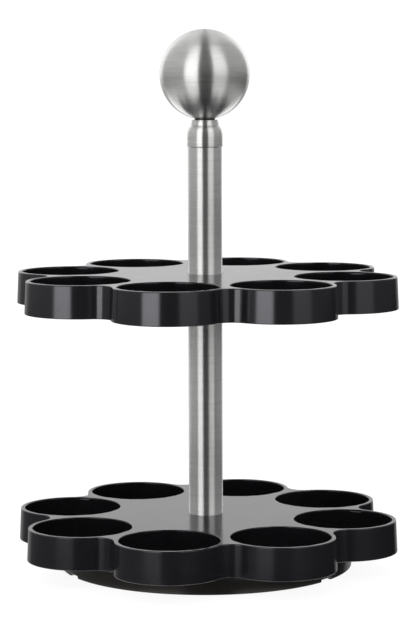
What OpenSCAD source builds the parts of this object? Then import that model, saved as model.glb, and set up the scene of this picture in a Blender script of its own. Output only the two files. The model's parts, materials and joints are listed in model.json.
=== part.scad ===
// Two-tier spice carousel: two identical pocketed trays on a steel column,
// clamped by one tie rod and turning on a caged ball race in a low base.
// Origin at the centre of the feet's plane, +Z up, millimetres.

/* [Trays] */
// Number of jar pockets in each tray
pocket_count = 8; // [6:1:8]
// Radius of the circle through the pocket centres
pitch_r = 65.76; // [65:0.02:72]
// Inner radius of a jar pocket
pocket_r = 22.8; // [18:0.1:23]
// Outer radius of a pocket wall at the rim
cup_r_top = 24.7; // [24.4:0.1:25]
// Outer radius of a pocket wall at the foot, wider by the mould's draft
cup_r_foot = 25.4; // [24.8:0.1:26]
// Radius of the hollow blend between two pockets, at the rim
blend_r = 8; // [6:0.5:9]
// Height of a tray from the pockets' feet to the rim
tray_h = 15; // [14:0.5:20]
// Thickness of a pocket's floor
floor_t = 2; // [1.5:0.1:3]
// Thickness of the tray's flat top
deck_t = 2.4; // [1.6:0.1:3]
// Height from the lower tray's top to the upper tray's top
tier_h = 113.3; // [90:0.1:140]
// Width of the small nicks in two of the pocket rims
nick_w = 5.4; // [3:0.1:7]
// Depth of the small nicks below the rim
nick_h = 0.8; // [0.5:0.1:1.2]

/* [Column] */
// Outer diameter of the steel tubes
tube_d = 16; // [15:0.5:18]
// Wall thickness of the steel tubes
tube_wall = 1; // [0.8:0.1:1.2]
// Bare height of the upper tube above the upper tray
upper_tube_h = 59; // [40:0.1:80]
// Outer radius of the collar
collar_r = 8.35; // [8.35:0.05:9.5]
// Height of the collar's straight part
collar_h = 4.9; // [3:0.1:8]
// Height of the collar's rounded shoulder
shoulder_h = 5; // [3:0.1:6]
// Radius of the cone under the ball, at its foot
neck_r = 6.75; // [5.5:0.05:7.5]
// Radius of the cone under the ball, at its top
neck_top_r = 6.2; // [5:0.05:7]
// Height of the cone under the ball
neck_h = 2.6; // [1.5:0.1:4]
// Diameter of the ball
ball_d = 41.8; // [36:0.2:50]
// Diameter of the tie rod
rod_d = 6; // [5:0.5:6]

/* [Base] */
// Outer radius of the base
base_r = 68.6; // [60:0.1:75]
// Height of the base's deck above the feet's plane
base_h = 8.3; // [8:0.1:9]
// Height of the base's lower edge above the feet's plane
rim_lift = 0.3; // [0.2:0.1:1.5]
// Gap between the base's deck and the tray's pockets
base_gap = 1; // [0.8:0.1:3]
// Width of a notch in the base's lower edge
notch_w = 8.2; // [4:0.1:10]
// Height of a notch in the base's lower edge
notch_h = 1.1; // [0.8:0.1:2]
// Number of rubber feet
foot_count = 6; // [3:1:8]

/* [Bearing] */
// Radius of the circle through the ball centres
race_r = 32; // [31:0.5:33]
// Diameter of a bearing ball
bearing_d = 4; // [4:0.5:4]
// Number of bearing balls
bearing_count = 12; // [8:1:18]

/* [Hidden] */
$fn = 96;

slack = 0.3;                 // free gap between parts that turn past each other
slip = 0.05;                 // radial gap of a push fit
plastic = [0.09, 0.09, 0.1];
steel = [0.74, 0.74, 0.72];
rubber = [0.16, 0.16, 0.17];
nylon = [0.9, 0.89, 0.84];

// bearing
ball_br = bearing_d / 2;
race_w = 10;
race_t = 1.2;
race_sink = 0.4;                                     // depth of a ball's groove
race_lift = base_h + race_t;                         // top of the lower race
bearing_gap = 0.03;                                  // free gap between a ball and its groove
bearing_z = race_lift - race_sink + ball_br;
groove_r = ball_br + 0.05;
upper_race_z = bearing_z + ball_br - race_sink;      // underside of the upper race
cage_w = 7;
cage_t = 1.6;

// trays
step_a = 360 / pocket_count;
lower_top = base_h + base_gap + tray_h;              // plane of the lower tray's rims
upper_top = lower_top + tier_h;                      // plane of the upper tray's rims
blend_c = cup_r_top + blend_r;                       // pocket centre to blend centre
half_gap = pitch_r * sin(step_a / 2);                // half the spacing of two pockets
blend_pos = pitch_r * cos(step_a / 2) + sqrt(blend_c * blend_c - half_gap * half_gap);
web_r = 76;                                          // the webs end here, inside the pockets' walls
cup_cut = 3;                                         // a pocket's wall joins the disc this far out
cup_wall = cup_r_top - pocket_r;
core_r = 54;                                         // the hollow under the deck ends here
hub_r = 13;                                          // boss round the column
hub_foot = 7.3;                                      // the boss ends this far below the rim plane
hub_bore_r = tube_d / 2 - tube_wall;                 // hole for the tube plugs
seat_h = 1.5;                                        // depth of a tube's seat in the boss
seat_r = tube_d / 2 + 0.15;
rail_w = 5;                                          // ring that carries the upper race
rail_foot = lower_top - upper_race_z - race_t;       // the ring ends this far below the rim plane
rib_t = 1.6;
rib_foot = 8;                                        // the ribs end this far below the rim plane
nick_depth = 1.1;                                    // how far a nick cuts into the wall
nick_at = 86;                                        // angle of a nick from its pocket's own radius

// column
plug_r = hub_bore_r - slip;
plug_reach = 14;                                     // how far a plug goes into a tube
shoulder_sweep = 70;                                 // part of a quarter turn the shoulder covers
plug_flange_r = 11;
plug_flange_h = 2;
rod_hole_r = rod_d / 2 + 0.1;
lower_tube_z = lower_top - seat_h;
lower_tube_top = upper_top - hub_foot + seat_h;
upper_tube_z = upper_top - seat_h;
collar_z = upper_top + upper_tube_h;
neck_z = collar_z + collar_h + shoulder_h;
ball_bottom = neck_z + neck_h;
ball_r = ball_d / 2;
ball_z = ball_bottom + ball_r;
ball_shell = 1;
insert_r = 4.7;
insert_top = ball_bottom + 15;
rod_top = insert_top - 3;

// base and pivot
deck_z = base_h - 2;                                 // underside of the base's deck
skirt_t = 2.2;
notch_at = 99.7;                                     // angle of the notch that stands alone
notch_spread = 58;                                   // half the angle between the other two
notch_angles = [notch_at, notch_at + 180 - notch_spread, notch_at + 180 + notch_spread];
foot_r = 4;
foot_ring_r = 60;
foot_h = 2.2;
base_hub_r = 12;
base_hub_top = 13.5;
bush_r = 8;
bush_flange_r = 11;
bush_flange_h = 1.2;
sleeve_r = 5;
sleeve_gap = 0.05;
flange_z = lower_top - hub_foot - plug_flange_h;     // underside of the lower plug's flange
washer_r = 9;
washer_h = 1.2;
washer_z = deck_z - slack - washer_h;
nut_h = 3.2;
nut_flats = 10;
rod_foot = washer_z - nut_h - 0.4;

module ring(outer, inner, h) {
    difference() {
        cylinder(r = outer, h = h);
        translate([0, 0, -1]) cylinder(r = inner, h = h + 2);
    }
}

module at_pockets(r) {
    for (i = [0:pocket_count - 1]) rotate(i * step_a) translate([r, 0, 0]) children();
}

// A cone through r_foot at z = 0 and r_top at the rim, running spare past both ends.
module drafted(r_foot, r_top, spare) {
    slope = (r_top - r_foot) / tray_h;
    translate([0, 0, -spare])
        cylinder(h = tray_h + 2 * spare, r1 = r_foot - slope * spare, r2 = r_top + slope * spare);
}

// Solid outline of a tray: a disc with hollow blends bitten out of its edge between the
// pockets, and the outer part of each pocket's wall standing out from it with draft.
module tray_blank() {
    intersection() {
        cylinder(r = pitch_r + 2 * cup_r_foot, h = tray_h);
        union() {
            difference() {
                translate([0, 0, -2]) cylinder(r = web_r, h = tray_h + 4);
                rotate(step_a / 2) at_pockets(blend_pos)
                    drafted(blend_c - cup_r_foot, blend_r, 3);
            }
            at_pockets(pitch_r) intersection() {
                drafted(cup_r_foot, cup_r_top, 1);
                translate([cup_cut, -cup_r_foot, -2])
                    cube([2 * cup_r_foot, 2 * cup_r_foot, tray_h + 4]);
            }
        }
    }
}

// Hollow under the deck, leaving the pocket walls.
module tray_core() {
    difference() {
        translate([0, 0, -1]) cylinder(r = core_r, h = tray_h - deck_t + 1);
        at_pockets(pitch_r) translate([0, 0, -2])
            cylinder(r = pocket_r + cup_wall, h = tray_h + 4);
    }
}

// A shallow ramp cut in a pocket's rim, at angle a from the pocket's own radius.
module rim_nick(a) {
    translate([pitch_r, 0, tray_h]) rotate(a) translate([pocket_r - 1, 0, 0])
        rotate([90, 0, 0]) translate([0, 0, -nick_w / 2]) linear_extrude(nick_w)
            polygon([[0, -nick_h], [1, -nick_h], [1 + nick_depth, 0.5], [0, 0.5]]);
}

// One tray moulding, with its pocket feet at z = 0.
module tray() {
    difference() {
        union() {
            difference() {
                tray_blank();
                tray_core();
            }
            translate([0, 0, tray_h - hub_foot]) cylinder(r = hub_r, h = hub_foot - deck_t / 2);
            translate([0, 0, tray_h - rail_foot])
                ring(race_r + rail_w / 2, race_r - rail_w / 2, rail_foot - deck_t / 2);
            for (i = [0:pocket_count - 1]) rotate(i * step_a)
                translate([hub_r - 1, -rib_t / 2, tray_h - rib_foot])
                    cube([pitch_r - pocket_r - hub_r, rib_t, rib_foot - deck_t / 2]);
        }
        at_pockets(pitch_r) translate([0, 0, floor_t]) cylinder(r = pocket_r, h = tray_h);
        cylinder(r = hub_bore_r, h = 3 * tray_h, center = true);
        translate([0, 0, tray_h - seat_h]) cylinder(r = seat_r, h = tray_h);
        translate([0, 0, tray_h - hub_foot - 1]) cylinder(r = seat_r, h = seat_h + 1);
        rim_nick(nick_at);
        rotate(180) rim_nick(-nick_at);
    }
}

module lower_tray() {
    color(plastic) translate([0, 0, lower_top - tray_h]) tray();
}

module upper_tray() {
    color(plastic) translate([0, 0, upper_top - tray_h]) tray();
}

module base_pan() {
    color(plastic) difference() {
        union() {
            difference() {
                translate([0, 0, rim_lift]) cylinder(r = base_r, h = base_h - rim_lift);
                translate([0, 0, rim_lift - 1]) cylinder(r = base_r - skirt_t, h = deck_z - rim_lift + 1);
            }
            translate([0, 0, deck_z]) cylinder(r = base_hub_r, h = base_hub_top - deck_z);
            for (i = [0:foot_count - 1]) rotate(notch_at + 30 + i * 360 / foot_count)
                translate([foot_ring_r, 0, foot_h]) cylinder(r = foot_r + 1, h = deck_z - foot_h + 1);
        }
        cylinder(r = bush_r, h = 3 * base_hub_top);
        for (a = notch_angles) rotate(a)
            translate([base_r - skirt_t - 1, -notch_w / 2, 0])
                cube([skirt_t + 2, notch_w, rim_lift + notch_h]);
    }
}

module rubber_feet() {
    color(rubber) for (i = [0:foot_count - 1]) rotate(notch_at + 30 + i * 360 / foot_count)
        translate([foot_ring_r, 0, 0]) cylinder(r = foot_r, h = foot_h);
}

module lower_race() {
    color(steel) difference() {
        translate([0, 0, base_h]) ring(race_r + race_w / 2, race_r - race_w / 2, race_t);
        translate([0, 0, bearing_z + ball_br - groove_r - bearing_gap])
            rotate_extrude() translate([race_r, 0]) circle(r = groove_r);
    }
}

module upper_race() {
    color(steel) difference() {
        translate([0, 0, upper_race_z]) ring(race_r + race_w / 2, race_r - race_w / 2, race_t);
        translate([0, 0, bearing_z - ball_br + groove_r + bearing_gap])
            rotate_extrude() translate([race_r, 0]) circle(r = groove_r);
    }
}

module ball_cage() {
    color(nylon) difference() {
        translate([0, 0, bearing_z - cage_t / 2])
            ring(race_r + cage_w / 2, race_r - cage_w / 2, cage_t);
        for (i = [0:bearing_count - 1]) rotate(i * 360 / bearing_count)
            translate([race_r, 0, bearing_z - cage_t])
                cylinder(r = ball_br + 0.15, h = 2 * cage_t);
    }
}

module bearing_balls() {
    color(steel) for (i = [0:bearing_count - 1]) rotate(i * 360 / bearing_count)
        translate([race_r, 0, bearing_z]) sphere(r = ball_br);
}

module pivot_bush() {
    color(nylon) difference() {
        union() {
            translate([0, 0, deck_z]) cylinder(r = bush_r, h = base_hub_top - deck_z);
            translate([0, 0, base_hub_top]) cylinder(r = bush_flange_r, h = bush_flange_h);
        }
        cylinder(r = sleeve_r + sleeve_gap, h = 3 * base_hub_top);
    }
}

module pivot_sleeve() {
    color(steel) translate([0, 0, washer_z + washer_h])
        ring(sleeve_r, rod_hole_r, flange_z - washer_z - washer_h);
}

module retaining_washer() {
    color(steel) translate([0, 0, washer_z]) ring(washer_r, rod_hole_r, washer_h);
}

module lock_nut() {
    color(steel) difference() {
        translate([0, 0, washer_z - nut_h])
            cylinder(r = nut_flats / 2 / cos(30), h = nut_h, $fn = 6);
        cylinder(r = rod_d / 2, h = 4 * nut_h);
    }
}

module tie_rod() {
    color(steel) translate([0, 0, rod_foot]) cylinder(r = rod_d / 2, h = rod_top - rod_foot);
}

module lower_tube_plug() {
    color(steel) difference() {
        union() {
            translate([0, 0, flange_z]) cylinder(r = plug_flange_r, h = plug_flange_h);
            translate([0, 0, flange_z + plug_flange_h])
                cylinder(r = plug_r, h = lower_tube_z + plug_reach - flange_z - plug_flange_h);
        }
        cylinder(r = rod_hole_r, h = 3 * lower_top);
    }
}

module middle_tube_plug() {
    color(steel) translate([0, 0, lower_tube_top - plug_reach])
        ring(plug_r, rod_hole_r, upper_tube_z - lower_tube_top + 2 * plug_reach);
}

module lower_tube() {
    color(steel) translate([0, 0, lower_tube_z])
        ring(tube_d / 2, hub_bore_r, lower_tube_top - lower_tube_z);
}

module upper_tube() {
    color(steel) translate([0, 0, upper_tube_z])
        ring(tube_d / 2, hub_bore_r, collar_z - upper_tube_z);
}

// Turned ferrule: a spigot in the tube, a straight band and a shoulder that follows an oval
// until it leans in as steeply as shoulder_sweep says.
module collar() {
    shoulder_steps = 12;
    oval_r = (collar_r - neck_r) / (1 - cos(shoulder_sweep));
    oval_h = shoulder_h / sin(shoulder_sweep);
    color(steel) translate([0, 0, collar_z]) rotate_extrude() polygon(concat(
        [[rod_hole_r, -plug_reach], [plug_r, -plug_reach], [plug_r, 0], [collar_r, 0]],
        [for (i = [0:shoulder_steps]) let (a = shoulder_sweep * i / shoulder_steps)
            [collar_r - oval_r * (1 - cos(a)), collar_h + oval_h * sin(a)]],
        [[rod_hole_r, collar_h + shoulder_h]]));
}

module neck_washer() {
    color(steel) difference() {
        translate([0, 0, neck_z]) cylinder(r1 = neck_r, r2 = neck_top_r, h = neck_h);
        translate([0, 0, neck_z - 1]) cylinder(r = rod_hole_r, h = neck_h + 2);
    }
}

module knob_insert() {
    color(steel) difference() {
        translate([0, 0, ball_bottom]) cylinder(r = insert_r, h = insert_top - ball_bottom);
        translate([0, 0, ball_bottom - 1]) cylinder(r = rod_d / 2, h = rod_top - ball_bottom + 1);
    }
}

module ball_knob() {
    color(steel) difference() {
        translate([0, 0, ball_z]) sphere(r = ball_r);
        translate([0, 0, ball_z]) sphere(r = ball_r - ball_shell);
        translate([0, 0, ball_bottom - 1]) cylinder(r = insert_r, h = ball_r);
    }
}

base_pan();
rubber_feet();
lower_race();
ball_cage();
bearing_balls();
upper_race();
pivot_bush();
pivot_sleeve();
retaining_washer();
lock_nut();
tie_rod();
lower_tray();
lower_tube_plug();
lower_tube();
upper_tray();
middle_tube_plug();
upper_tube();
collar();
neck_washer();
knob_insert();
ball_knob();
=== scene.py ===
"""Two-tier spice carousel: the meshes, finishes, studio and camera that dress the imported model.

Every size is in metres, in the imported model's own frame: +Z is up, the origin is on the floor under
the column. Places come from the frame's nodes and mounts, and the rest are the fields below.
"""
import sys

import json
import logging
import math
from dataclasses import dataclass, field
from enum import Enum
from typing import Callable, Optional, Sequence

import bmesh
import bpy
from mathutils import Matrix, Vector
from mathutils.geometry import delaunay_2d_cdt

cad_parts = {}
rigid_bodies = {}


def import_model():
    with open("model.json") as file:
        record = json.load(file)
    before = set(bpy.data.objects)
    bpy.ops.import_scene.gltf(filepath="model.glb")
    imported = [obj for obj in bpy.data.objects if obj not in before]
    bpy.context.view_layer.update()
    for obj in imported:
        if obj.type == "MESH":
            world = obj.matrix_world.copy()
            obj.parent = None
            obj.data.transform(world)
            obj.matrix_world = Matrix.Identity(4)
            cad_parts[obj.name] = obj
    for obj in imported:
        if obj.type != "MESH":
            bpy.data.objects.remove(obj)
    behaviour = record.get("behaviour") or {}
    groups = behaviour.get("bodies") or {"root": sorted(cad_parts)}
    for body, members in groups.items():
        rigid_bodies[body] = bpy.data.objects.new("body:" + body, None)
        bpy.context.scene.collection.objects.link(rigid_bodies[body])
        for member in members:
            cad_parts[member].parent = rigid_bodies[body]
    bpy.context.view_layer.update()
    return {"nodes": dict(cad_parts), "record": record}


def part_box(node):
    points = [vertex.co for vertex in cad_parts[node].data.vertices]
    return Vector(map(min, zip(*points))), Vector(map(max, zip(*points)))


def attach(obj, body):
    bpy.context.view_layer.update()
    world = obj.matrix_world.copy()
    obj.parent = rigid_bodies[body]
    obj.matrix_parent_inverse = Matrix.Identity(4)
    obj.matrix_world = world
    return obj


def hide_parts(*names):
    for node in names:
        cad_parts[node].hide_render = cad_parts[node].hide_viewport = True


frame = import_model()

MM = 0.001
TURN = 2 * math.pi
AT_POLE = 1e-9
STRAIGHT_ON = 1e-4
TURNED_CREASE = math.radians(28)
WHITE = (1.0, 1.0, 1.0, 1.0)
LOG = logging.getLogger("spice_carousel")

Point = tuple[float, float]
Outline = Sequence[Point]
Rgb = tuple[float, float, float]


class Body(Enum):
    """The bodies that move separately."""

    BASE = "base"
    CAROUSEL = "carousel"
    CAGE = "bearing_cage"


class Lay(Enum):
    """Which way the machining marks of a metal piece run."""

    TURNED = "along the outline of a turned piece"
    STOCK = "round a bar or a disc, by height alone"


# ---------------------------------------------------------------- outlines and meshes


def fillet(corners: Sequence[tuple[float, float, float]], steps: int = 5) -> list[Point]:
    """Rounds the corners of a closed outline.

    Args:
        corners: (x, y, radius) for each corner; a radius of 0 keeps it sharp.
        steps: how many chords stand for each round.

    Returns:
        The points of the rounded outline.
    """
    points: list[Point] = []
    for i, (x, y, radius) in enumerate(corners):
        here = Vector((x, y))
        before = (Vector(corners[i - 1][:2]) - here).normalized()
        after = (Vector(corners[(i + 1) % len(corners)][:2]) - here).normalized()
        half = before.angle(after) / 2
        if radius == 0 or abs(half - math.pi / 2) < STRAIGHT_ON:
            points.append((x, y))
            continue
        centre = here + (before + after).normalized() * (radius / math.sin(half))
        start = here + before * (radius / math.tan(half)) - centre
        end = here + after * (radius / math.tan(half)) - centre
        sweep = start.angle_signed(end)
        for k in range(steps + 1):
            turned = Matrix.Rotation(-sweep * k / steps, 2) @ start
            points.append(tuple(centre + turned))
    return points


def arc(centre: Point, radius: float, start: float, end: float, steps: int) -> list[Point]:
    """Points on an arc, both ends included, with its angles in radians."""
    return [
        (centre[0] + radius * math.cos(a), centre[1] + radius * math.sin(a))
        for a in (start + (end - start) * k / steps for k in range(steps + 1))
    ]


def finished(name: str, mesh: bmesh.types.BMesh, crease: Optional[float] = None) -> bpy.types.Object:
    """Turns a bmesh into an object at the origin.

    Args:
        name: the piece's name.
        mesh: the bmesh, which is freed.
        crease: edges that bend by more than this many radians stay sharp; None keeps the mesh's own.

    Returns:
        The new object, linked to the scene.
    """
    if crease is not None:
        for face in mesh.faces:
            face.smooth = True
        for edge in mesh.edges:
            edge.smooth = edge.is_manifold and edge.calc_face_angle() < crease
    data = bpy.data.meshes.new(name)
    mesh.to_mesh(data)
    mesh.free()
    piece = bpy.data.objects.new(name, data)
    bpy.context.scene.collection.objects.link(piece)
    return piece


def bridge(
    mesh: bmesh.types.BMesh, rows: Sequence[Sequence[bmesh.types.BMVert]], closed: bool = False
) -> None:
    """Lays smooth faces between rows of points; closed rows join their last point to their first."""
    for first, second in zip(rows, rows[1:]):
        for k in range(len(first) if closed else len(first) - 1):
            n = (k + 1) % len(first)
            mesh.faces.new((first[k], first[n], second[n], second[k])).smooth = True


def turned(
    name: str,
    outline: Outline,
    steps: int = 144,
    angles: Optional[Sequence[float]] = None,
    lift: Optional[Callable[[float, float, float], float]] = None,
) -> bpy.types.Object:
    """A closed solid turned about the Z axis.

    Its UV map runs round the piece in U and along the outline, in metres, in V.

    Args:
        name: the piece's name.
        outline: the section as (radius, height) points; a radius of 0 is a pole.
        steps: how many steps make the turn.
        angles: the steps' own angles, where they aren't even.
        lift: gives what is added to a point's height, from its angle, radius and height.

    Returns:
        The piece.
    """
    turn = list(angles) if angles else [TURN * k / steps for k in range(steps)]
    mesh = bmesh.new()
    rings = []
    for radius, height in outline:
        if radius < AT_POLE:
            rings.append([mesh.verts.new((0, 0, height))])
            continue
        heights = [height + (lift(a, radius, height) if lift else 0.0) for a in turn]
        rings.append([
            mesh.verts.new((radius * math.cos(a), radius * math.sin(a), z)) for a, z in zip(turn, heights)
        ])
    uv = mesh.loops.layers.uv.new("UVMap")
    along = 0.0
    for i, ring in enumerate(rings):
        after = rings[(i + 1) % len(rings)]
        run = math.dist(outline[i], outline[(i + 1) % len(outline)])
        for k in range(len(turn)):
            n = (k + 1) % len(turn)
            corners = [ring[k % len(ring)], ring[n % len(ring)], after[n % len(after)], after[k % len(after)]]
            places = [(k, 0), (k + 1, 0), (k + 1, 1), (k, 1)]
            kept = [j for j in range(4) if corners[j] not in corners[:j]]
            if len(kept) < 3:
                continue
            face = mesh.faces.new([corners[j] for j in kept])
            for loop, j in zip(face.loops, kept):
                loop[uv].uv = (places[j][0] / len(turn), along + run * places[j][1])
        along += run
    bmesh.ops.recalc_face_normals(mesh, faces=mesh.faces)
    return finished(name, mesh, crease=TURNED_CREASE)


def joined(name: str, parts: Sequence[bpy.types.Object]) -> bpy.types.Object:
    """Joins separate closed shells into one piece."""
    mesh = bmesh.new()
    for part in parts:
        mesh.from_mesh(part.data)
        bpy.data.objects.remove(part)
    return finished(name, mesh)


# ---------------------------------------------------------------- copies round the axis


class RingOfCopies:
    """A Geometry Nodes tree that sets copies of one piece in a ring round the Z axis."""

    def __init__(self) -> None:
        """Builds the tree and its named inputs."""
        self.tree = bpy.data.node_groups.new("ring_of_copies", "GeometryNodeTree")
        face = self.tree.interface
        self.ids: dict[str, str] = {}
        for label, kind in (
            ("Copy", "NodeSocketObject"),
            ("Count", "NodeSocketInt"),
            ("Radius", "NodeSocketFloat"),
            ("Height", "NodeSocketFloat"),
            ("First angle", "NodeSocketFloat"),
            ("Weld distance", "NodeSocketFloat"),
            ("Finish", "NodeSocketMaterial"),
        ):
            self.ids[label] = face.new_socket(label, in_out="INPUT", socket_type=kind).identifier
        face.new_socket("Geometry", in_out="OUTPUT", socket_type="NodeSocketGeometry")
        self._wire()

    def _wire(self) -> None:
        """Places and links the tree's nodes."""
        tree = self.tree
        given = tree.nodes.new("NodeGroupInput").outputs
        index = tree.nodes.new("GeometryNodeInputIndex").outputs[0]
        step = calc(tree, "DIVIDE", TURN, given["Count"])
        angle = calc(tree, "ADD", calc(tree, "MULTIPLY", index, step), given["First angle"])
        place = add_node(
            tree, "ShaderNodeCombineXYZ", Z=given["Height"],
            X=calc(tree, "MULTIPLY", calc(tree, "COSINE", angle), given["Radius"]),
            Y=calc(tree, "MULTIPLY", calc(tree, "SINE", angle), given["Radius"]),
        )
        turn = add_node(tree, "ShaderNodeCombineXYZ", Z=angle)
        points = add_node(tree, "GeometryNodePoints", Count=given["Count"], Position=place.outputs[0])
        source = add_node(tree, "GeometryNodeObjectInfo", Object=given["Copy"])
        copies = add_node(
            tree, "GeometryNodeInstanceOnPoints", Points=points.outputs[0],
            Instance=source.outputs["Geometry"], Rotation=turn.outputs[0],
        )
        real = add_node(tree, "GeometryNodeRealizeInstances", Geometry=copies.outputs[0])
        weld = add_node(
            tree, "GeometryNodeMergeByDistance", Geometry=real.outputs[0], Distance=given["Weld distance"],
        )
        dress = add_node(
            tree, "GeometryNodeSetMaterial", Geometry=weld.outputs[0], Material=given["Finish"],
        )
        add_node(tree, "NodeGroupOutput", Geometry=dress.outputs[0])

    def make(
        self, name: str, copy: bpy.types.Object, count: int, finish: bpy.types.Material,
        radius: float = 0.0, height: float = 0.0, first_angle: float = 0.0, weld: float = 0.0,
    ) -> bpy.types.Object:
        """Makes a ring as one plain mesh, and removes the piece that it copies.

        Args:
            name: the new piece's name.
            copy: the piece that is repeated, at the origin.
            count: how many copies there are.
            finish: the material of the ring.
            radius: how far the copies stand from the axis.
            height: how far they stand above the origin.
            first_angle: the first copy's angle, in radians.
            weld: points closer than this become one.

        Returns:
            The ring.
        """
        ring = bpy.data.objects.new(name, bpy.data.meshes.new(name))
        bpy.context.scene.collection.objects.link(ring)
        modifier = ring.modifiers.new("ring", "NODES")
        modifier.node_group = self.tree
        for label, value in zip(self.ids, (copy, count, radius, height, first_angle, weld, finish)):
            modifier[self.ids[label]] = value
        ring.update_tag()
        graph = bpy.context.evaluated_depsgraph_get()
        plain = bpy.data.meshes.new_from_object(ring.evaluated_get(graph))
        ring.modifiers.clear()
        ring.data = plain
        plain.name = name
        bpy.data.objects.remove(copy)
        return ring


# ---------------------------------------------------------------- nodes


def feed(node: bpy.types.Node, **feeds: object) -> None:
    """Feeds a node's inputs.

    Args:
        node: the node.
        feeds: sockets or values for its inputs, by name with _ for a space, or by number as i0, i1.
    """
    for key, value in feeds.items():
        by_number = key[0] == "i" and key[1:].isdigit()
        socket = node.inputs[int(key[1:])] if by_number else node.inputs[key.replace("_", " ")]
        if isinstance(value, bpy.types.NodeSocket):
            node.id_data.links.new(value, socket)
        else:
            socket.default_value = value


def add_node(
    tree: bpy.types.NodeTree, kind: str, settings: Optional[dict] = None, **feeds: object
) -> bpy.types.Node:
    """Adds a node, sets its own properties, feeds its inputs as feed does, and returns it."""
    node = tree.nodes.new(kind)
    for key, value in (settings or {}).items():
        setattr(node, key, value)
    feed(node, **feeds)
    return node


def calc(tree: bpy.types.NodeTree, operation: str, *values: object) -> bpy.types.NodeSocket:
    """Adds a Math node, fed by sockets or numbers, and returns its result."""
    feeds = {f"i{k}": value for k, value in enumerate(values)}
    return add_node(tree, "ShaderNodeMath", {"operation": operation}, **feeds).outputs[0]


def object_place(tree: bpy.types.NodeTree) -> bpy.types.NodeSocket:
    """The Object coordinate of a material."""
    return tree.nodes.new("ShaderNodeTexCoord").outputs["Object"]


def noise(tree: bpy.types.NodeTree, place: bpy.types.NodeSocket, **feeds: object) -> bpy.types.NodeSocket:
    """Adds a noise texture at a place, and returns its value."""
    return add_node(tree, "ShaderNodeTexNoise", Vector=place, **feeds).outputs["Fac"]


class SurfaceGroup:
    """A shared surface effect: a shader node group with named inputs and outputs."""

    def __init__(self, name: str, mask: str, inputs: dict[str, float]) -> None:
        """Makes the group's sockets.

        Args:
            name: the group's name.
            mask: the name of the output that chooses between two tones.
            inputs: the default of each number; Place, a vector, comes before them.
        """
        self.tree = bpy.data.node_groups.new(name, "ShaderNodeTree")
        self.mask = mask
        face = self.tree.interface
        face.new_socket("Place", in_out="INPUT", socket_type="NodeSocketVector")
        for label, value in inputs.items():
            face.new_socket(label, in_out="INPUT", socket_type="NodeSocketFloat").default_value = value
        for label in (mask, "Roughness", "Height"):
            face.new_socket(label, in_out="OUTPUT", socket_type="NodeSocketFloat")
        self.given = self.tree.nodes.new("NodeGroupInput").outputs

    def scattered(self, pattern: bpy.types.NodeSocket, lowest: float) -> bpy.types.NodeSocket:
        """The base roughness, moved up and down by a pattern and kept above the lowest."""
        away = calc(self.tree, "SUBTRACT", pattern, 0.5)
        swing = calc(self.tree, "MULTIPLY", away, self.given["Roughness spread"])
        doubled = calc(self.tree, "MULTIPLY", swing, 2.0)
        rough = calc(self.tree, "ADD", self.given["Base roughness"], doubled)
        return calc(self.tree, "MAXIMUM", rough, lowest)

    def put_out(self, *results: bpy.types.NodeSocket) -> None:
        """Links the mask, the roughness and the height to the outputs."""
        feeds = {f"i{k}": socket for k, socket in enumerate(results)}
        add_node(self.tree, "NodeGroupOutput", **feeds)


def moulded_skin_group() -> SurfaceGroup:
    """The skin of a moulding: long flow waves, a fine tool texture and a thin film of dust."""
    group = SurfaceGroup("moulded_skin", "Cloud", {
        "Wave size": 0.02, "Grain size": 0.0008, "Grain share": 0.3,
        "Base roughness": 0.25, "Roughness spread": 0.06,
    })
    tree, given = group.tree, group.given
    place = given["Place"]
    often = calc(tree, "DIVIDE", 1.0, given["Wave size"])
    seldom = calc(tree, "DIVIDE", 0.35, given["Wave size"])
    closely = calc(tree, "DIVIDE", 1.0, given["Grain size"])
    wave = noise(tree, place, Scale=often, Detail=2.0, Roughness=0.5)
    grain = noise(tree, place, Scale=closely, Detail=3.0, Roughness=0.6)
    smear = noise(tree, place, Scale=seldom, Detail=5.0, Roughness=0.62, Distortion=0.6)
    tooth = calc(tree, "MULTIPLY", calc(tree, "SUBTRACT", grain, 0.5), given["Grain share"])
    group.put_out(smear, group.scattered(smear, 0.04), calc(tree, "ADD", wave, tooth))
    return group


def turning_marks_group() -> SurfaceGroup:
    """Brushed or turned metal: fine lines round the axis, broken into long streaks."""
    group = SurfaceGroup("turning_marks", "Tone", {
        "Along": 0.0, "Line pitch": 0.0003, "Streak length": 0.012,
        "Base roughness": 0.3, "Roughness spread": 0.08,
    })
    tree, given = group.tree, group.given
    place = add_node(tree, "ShaderNodeSeparateXYZ", Vector=given["Place"]).outputs
    stretch = calc(tree, "DIVIDE", 1.0, given["Streak length"])
    pitch = calc(tree, "DIVIDE", 1.0, given["Line pitch"])

    def lines(share: float, detail: float) -> bpy.types.NodeSocket:
        """Noise that is long round the axis and short along the piece."""
        spread = add_node(
            tree, "ShaderNodeCombineXYZ",
            X=calc(tree, "MULTIPLY", place["X"], stretch),
            Y=calc(tree, "MULTIPLY", place["Y"], stretch),
            Z=calc(tree, "MULTIPLY", given["Along"], calc(tree, "MULTIPLY", pitch, share)),
        ).outputs[0]
        return noise(tree, spread, Scale=1.0, Detail=detail, Roughness=0.65)

    fine = calc(tree, "MULTIPLY", lines(1.0, 3.0), 0.6)
    mixed = calc(tree, "ADD", fine, calc(tree, "MULTIPLY", lines(0.22, 2.0), 0.4))
    group.put_out(mixed, group.scattered(mixed, 0.05), mixed)
    return group


# ---------------------------------------------------------------- finishes


def blank_material(name: str) -> tuple[bpy.types.Material, bpy.types.Node]:
    """Makes a material that holds an output and a Principled BSDF, and returns both."""
    material = bpy.data.materials.new(name)
    material.use_nodes = True
    tree = material.node_tree
    tree.nodes.clear()
    shader = tree.nodes.new("ShaderNodeBsdfPrincipled")
    add_node(tree, "ShaderNodeOutputMaterial", Surface=shader.outputs[0])
    return material, shader


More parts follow.
